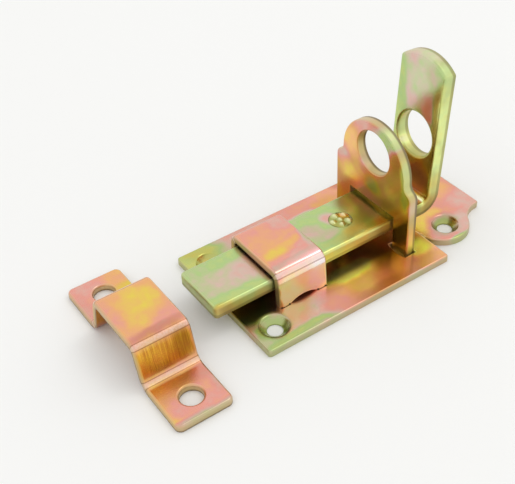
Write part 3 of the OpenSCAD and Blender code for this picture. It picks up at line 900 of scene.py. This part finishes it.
# %% The keeper's finish
RUBBED_LEG = (9.3, 16.6)
keeper_patches = [
    (1.5, 3, 5, 6, 0.03, 0), (-1, -3, 4, 3, 0.1, 0), (-6.5, 2, 1.5, 8, 0.26, 0), (6.8, 3, 1.2, 6, 0.22, 0),
    (5, -6, 3, 2.5, 0.3, 0), (-4, 31, 6, 5, 0.36, 0), (5, 29, 3.5, 4, 0.19, 0), (5, 27, 3, 1.5, 0.04, 0.1),
    (-7, 23, 3, 6, 0.38, 0.1), (0, -7.6, 9, 1.2, 0.32, 0.35), (0, -13.4, 9, 4.4, 0.13, 0.65),
    (-3.5, -12.5, 4, 3.6, 0.12, 0.2), (5, -12.8, 2.4, 3.6, 0.12, 1.2), (7.3, -12.5, 0.8, 4, 0.3, 0.2),
    (0, -17.8, 9, 1, 0.25, 0.1), (-1, -22, 7, 2.6, 0.17, 0.5), (6, -23, 3, 2.6, 0.36, 0.2),
    (-5, -25, 3, 3, 0.2, 0.2), (-5, -29, 3, 3, 0.34, 0), (7, -28, 1.6, 3, 0.42, 0.1),
    (0, -30.5, 7, 3, 0.36, 0), (0, -34, 10, 1.3, 0.55, 0.2)]
keeper_zinc = yellow_zinc("yellow_zinc_on_keeper_strip", 0.2, 0.1, 0.0, "#cdbd8d", keeper_patches,
                          crazed_highlight_band=(0.8, 0.55), pressing_and_reflection=0.6, streaked=RUBBED_LEG)
hand_over("keeper_strip", keeper, keeper_zinc, "keeper")

# %% [markdown]
# ## The padlock lug
# The lug is cut from thicker sheet and isn't bent at all. Its round head has the padlock's hole,
# two shoulders lead into its legs, and the bar slides through the window between them.

# %% The padlock lug
HEAD_R = 12
SHOULDER_Z = 18.5
SHOULDER_R = 2.2
NECK_R = 2.4
WINDOW_TOP = 10.7
LUG_ROUND = 0.45
window_half = lug_half - LUG_LEG
lock_z = mount("lug_padlock_hole")[0][2]
lug_hole_r = mount("lug_padlock_hole")[1]["r_mm"]
shoulder_turn = acos(1 - (lug_half - HEAD_R) / (SHOULDER_R + NECK_R))
neck_z = SHOULDER_Z + (SHOULDER_R + NECK_R) * sin(shoulder_turn)

lug = bmesh.new()
draw(lug, (WINDOW_TOP, 0), [
    (WINDOW_TOP, window_half), (0, window_half), (0, lug_half), (SHOULDER_Z, lug_half),
    (SHOULDER_Z, lug_half - SHOULDER_R, -degrees(shoulder_turn)),
    (neck_z, HEAD_R + NECK_R, degrees(shoulder_turn)), (neck_z, 0, -90)])
mirror_outline(lug, "Y")
punch(lug, lock_z, 0, lug_hole_r, segments=72)
stamp(lug, lug_x1 - lug_x0, LUG_ROUND, SHEET_BURR)
keep_blank_places(lug)
bmesh.ops.rotate(lug, cent=(0, 0, 0), matrix=Matrix.Rotation(radians(-90), 3, "Y"), verts=lug.verts[:])
bmesh.ops.translate(lug, vec=((lug_x0 + lug_x1) / 2 * MM, 0, 0), verts=lug.verts[:])
print("lug: shoulders turn", round(degrees(shoulder_turn)), "degrees")

# %% [markdown]
# The lug's head is salmon with some green, and lower down the film turns yellow and then brown
# towards the bar; that brown is painted shade. The blank was drawn lying down, so its u is the
# height on the finished lug.

# %% The padlock lug's finish
lug_patches = [
    (32, 5, 4, 4.5, 0.4, 0), (31, -4, 4, 4.5, 0.68, 0.1), (25, 9, 5, 4.5, 0.15, -0.2),
    (19.5, 12, 3, 3, 0.46, 0), (15.5, 8.5, 3, 4, 0.02, -0.1), (18.5, 5, 2.5, 2.5, 0.1, 0.2),
    (10, 11, 3, 4, 0.2, 0.6), (22, 3, 2, 2, 0.38, 0), (6, 12, 4, 4, -0.05, 0.6),
    (19.5, 3, 1.5, 2.5, 0.24, 0.5), (16, 0, 3.5, 3, -0.16, 0.7), (12, 0, 2.2, 8, 0.33, 0.4),
    (18.5, -7, 3, 2.5, 0.1, 0.2), (22, -8, 2.5, 2.5, 0.1, 0.6), (27, -9, 3.5, 2, 0.05, 1.0),
    (19, -12, 4, 1.6, -0.12, 0.6), (26, -12, 5, 1.2, -0.2, -0.1), (32, -8, 2, 2, 0.72, 0),
    (7, -11.5, 8, 4, 0.0, 0.1), (12.5, -9, 2.5, 5, 0.1, 0.9), (9, 9.5, 4, 3, 0.12, 0.9),
    (6, -15.6, 10, 1.0, 0.36, -0.6), (17, -14.5, 3, 1.5, 0.36, -0.2)]
lug_zinc = yellow_zinc("yellow_zinc_on_thick_lug", 0.15, 0.05, 0.5, "#cfd09c", lug_patches, edge_share=0.6)
hand_over("padlock_lug_sheet", lug, lug_zinc, "padlock_lug")

# %% [markdown]
# ## The sliding bolt
# One length of flat bar is both bolt and handle: it is bent up just past a right angle, so that the
# handle leans away from the lug. Bar stock has softer edges than sheet, and only its ends are sheared.

# %% The sliding bolt
(bolt_tip, _, bar_low), (_, bar_half, _) = box_mm("sliding_bolt")
BAR_T = 3.8
BAR_RADII = (3.7,)
BAR_CORNER_X = 22.772
HANDLE_LEAN = 4
HANDLE_UP = 40.872
TIP_CORNER = 1.2
CROWN_R = 12
CROWN_CORNER = 1
HOLE_BELOW_TOP = 22.527
BAR_UPPER_ROUND = 0.8
BAR_LOWER_ROUND = 0.6
RIVET_X = -1.7
RIVET_HOLE_R = 2.0
handle_hole_r = mount("handle_padlock_hole")[1]["r_mm"]
bar_mid_z = bar_low + BAR_T / 2
lean = radians(HANDLE_LEAN)
bolt_path = [(bolt_tip, 0), (BAR_CORNER_X, 0),
             (BAR_CORNER_X + HANDLE_UP * sin(lean), HANDLE_UP * cos(lean))]
bolt_plan, bolt_length = fold_plan(bolt_path, BAR_RADII)
crown_top = bolt_tip + bolt_length
corner_y = bar_half - CROWN_CORNER
corner_along = sqrt((CROWN_R - CROWN_CORNER) ** 2 - corner_y ** 2)
corner_angle = degrees(atan2(corner_y, corner_along))

bolt = bmesh.new()
draw(bolt, (bolt_tip, 0), [
    (bolt_tip, bar_half - TIP_CORNER), (bolt_tip + TIP_CORNER, bar_half - TIP_CORNER, -90),
    (crown_top - CROWN_R + corner_along, bar_half),
    (crown_top - CROWN_R + corner_along, corner_y, corner_angle - 90),
    (crown_top - CROWN_R, 0, -corner_angle)])
mirror_outline(bolt, "Y")
punch(bolt, crown_top - HOLE_BELOW_TOP, 0, handle_hole_r, segments=72)
punch(bolt, RIVET_X, 0, RIVET_HOLE_R, segments=48)
stamp(bolt, BAR_T, BAR_UPPER_ROUND, BAR_LOWER_ROUND)
keep_blank_places(bolt)
fold(bolt, bolt_plan, axis=0, sides=(1,), start=bolt_tip)
bmesh.ops.translate(bolt, vec=(0, 0, bar_mid_z * MM), verts=bolt.verts[:])
print("bolt blank:", round(bolt_length, 1), "mm long")

# %% [markdown]
# The bar's film is thicker than the sheet's: green nearly all along, with lilac islands on the
# bolt's tip, beside the rivet and on the handle's upper half. Under the lug and above the bend it
# turns brown, which is painted shade. The bar's side between strap and lug and the inside of the
# bend are made paler, as painted highlights. The blank's u runs from the tip up to the handle's
# crown. Most of a bar's edge is rolled and not sheared, so the edge colour and the torn part count
# for less than on sheet.

# %% The sliding bolt's finish
bolt_patches = [
    (-36, 0, 7, 5, 0.54, 0), (-31, -1, 3.5, 4, 0.48, 0), (-34, 6, 5, 2.2, 0.68, 0),
    (-43.5, 0, 2, 8, 0.6, 0.0), (-38, -6, 8, 2, 0.72, 0), (-38, -9, 9, 1.7, 1.14, 0.8),
    (-28.5, -1, 1.4, 6, 0.5, 0.0), (-8, 5, 6, 3.6, 0.67, 0), (-11, 0.5, 3, 3, 0.52, 0.1),
    (-9, -3, 4, 2.5, 0.56, 0.1), (-4, 2.5, 2, 2, 0.42, 0), (-4, -6, 9, 1.8, 0.76, 0.2),
    (1, -5.5, 5, 1.5, 0.84, 0.2), (6, -7, 4, 1.4, 0.84, 0.6), (-6, -8.3, 12, 0.9, 0.94, -0.2),
    (5, 5, 4, 4, 0.6, 0.7), (6, -2, 4.5, 4, 0.67, 0.8), (8, 1, 3, 4, 0.6, 0.9),
    (9.6, 0, 1.3, 10, 1.05, 0.3), (28, -3, 6, 6, 1.33, 0.6), (28, 4, 6, 4, 1.31, 0.6),
    (33, 2, 2, 3, 0.82, 0.4), (39.5, 0, 7.5, 8, 0.84, 0.5), (36, 5, 2, 2, 0.85, -0.9),
    (49, -3.5, 4, 3, 0.37, 0.3), (50, 3, 5, 3, 0.5, -0.1), (52, 7, 11, 2, 0.7, 0),
    (40, 7.5, 6, 1.5, 0.76, -0.1), (48, -7, 12, 1.6, 0.84, 0.6), (56, 0, 6, 5, 0.58, -0.2),
    (61.5, -1, 1.6, 7, 0.59, -0.2), (60, 3, 3, 3, 0.52, -0.1), (58, -5, 3, 2.5, 0.55, 0),
    (61, -6.5, 2, 2, 0.7, 0), (62.6, -5.5, 1.3, 1.8, 0.62, 1.4), (21, -2, 3, 9, 0.84, -1.1),
    (17, -7.5, 3, 2, 0.8, 1.1), (8, -7.5, 3, 2, 0.95, 0.9), (40, -8.1, 18, 0.7, 0.82, -0.5),
    (22, -8.4, 2.5, 1, 0.98, 0.7)]
bolt_zinc = yellow_zinc("yellow_zinc_on_flat_bar", 0.67, 0.05, 0.0, "#d9dba6", bolt_patches,
                        edge_share=0.3, torn=0.25)
hand_over("sliding_bolt_bar", bolt, bolt_zinc, "sliding_bolt")

# %% [markdown]
# ## The stop rivet
# A rivet through the bar runs between strap and lug and stops the bolt both ways. Its shank and the
# low disc of its head are turned with spin from a profile of (radius, height above the foot). The
# last ring under the head lies close to its border, so that the border's normals follow the top.

# %% The stop rivet
rivet_low = box_mm("stop_rivet")[0][2]
bar_top = bar_low + BAR_T
SHANK_R = 1.97
PEENED_R = 3.15
UNDER_R = 3.13
SWELL = 0.22
RINGS = 21
RIVET_STEPS = 90
foot_top = bar_low - rivet_low
head_start = bar_top - rivet_low

shank = [(2.7, 0.0), (2.95, 0.1), (3.0, 0.35), (3.0, foot_top), (SHANK_R, foot_top), (SHANK_R, head_start),
         (UNDER_R, head_start)]
outwards = [1 - k / RINGS for k in range(RINGS + 1)]
head = [(PEENED_R * share, head_start + SWELL * (1 - share ** 3)) for share in outwards]
rivet = bmesh.new()
pen = rivet.verts.new((RIVET_X * MM, 0, rivet_low * MM))
for r, z in shank + head:
    pen = bmesh.ops.extrude_vert_indiv(rivet, verts=[pen])["verts"][0]
    pen.co = ((RIVET_X + r) * MM, 0, (rivet_low + z) * MM)
bmesh.ops.spin(rivet, geom=rivet.verts[:] + rivet.edges[:], cent=(RIVET_X * MM, 0, 0), axis=(0, 0, 1),
               dvec=(0, 0, 0), angle=2 * pi, steps=RIVET_STEPS, use_merge=True)
bmesh.ops.remove_doubles(rivet, verts=rivet.verts[:], dist=SPIN_MERGE)
print("turned rivet:", len(rivet.faces), "faces")

# %% [markdown]
# The head was peened over with a ribbed punch, which left a button in the middle, five uneven petals
# round it and a border that is drawn in between them. Each bump is half a cosine wave, and its share
# is kept as the rim attribute too: the crowns are painted pale, as painted highlights, against the
# deeper film of the grooves. The pink patch beside the button is a painted reflection.

# %% The peened head
PETALS = 5
PETAL_TURN = 0.5
PETAL_OUT = 2.1
OUT_VARIES = 0.08
PETAL_R = 1.25
R_VARIES = 0.2
PETAL_RISE = 0.46
RISE_VARIES = 0.25
BUTTON_R = 1.0
BUTTON_RISE = 0.3
DRAWN_IN = 0.06
BORDER_Z = (bar_top + 0.01) * MM

for v in rivet.verts:
    if v.co.z > BORDER_Z:
        around = atan2(v.co.y, v.co.x - RIVET_X * MM) - PETAL_TURN
        shrink = 1 - DRAWN_IN * (1 - cos(PETALS * around))
        v.co.x = RIVET_X * MM + (v.co.x - RIVET_X * MM) * shrink
        v.co.y *= shrink
bumps = [(0, 0, BUTTON_R, BUTTON_RISE)]
for k in range(PETALS):
    turn = 2 * pi * k / PETALS + PETAL_TURN
    out = PETAL_OUT * (1 + OUT_VARIES * cos(3 * k))
    reach = PETAL_R * (1 + R_VARIES * sin(1.7 * k))
    rise = PETAL_RISE * (1 + RISE_VARIES * sin(2.4 * k))
    bumps.append((out * cos(turn), out * sin(turn), reach, rise))
crown_highlight = rivet.verts.layers.float.new("rim")
for bump_x, bump_y, reach, rise in bumps:
    for v in rivet.verts:
        away = hypot(v.co.x / MM - RIVET_X - bump_x, v.co.y / MM - bump_y)
        if v.co.z > BORDER_Z and away < reach:
            share = (1 + cos(pi * away / reach)) / 2
            v.co.z += rise * share * MM
            v[crown_highlight] = min(1, v[crown_highlight] + share)
keep_blank_places(rivet)
# Painted highlights on the crowns through the pale edge colour, and a pink painted reflection.
rivet_patches = [(RIVET_X + 1.6, 1.6, 1.6, 1.2, 1.15, 0.3)]
rivet_zinc = yellow_zinc("yellow_zinc_on_peened_rivet", 0.76, 0.06, 0.55, "#f4f8c4", rivet_patches,
                         edge_share=0.85)
hand_over("stop_rivet_head", rivet, rivet_zinc, "stop_rivet")

# %% [markdown]
# ## The last line
# The visual model has to stay the size of the CAD model, so both boxes are written down side by side.

# %% Writing the sizes
final_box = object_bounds()
for corner, cad, final in zip(("low", "high"), cad_box, final_box):
    print(corner, "corner grown by mm:", [round((f - c) / MM, 2) for f, c in zip(final, cad)])
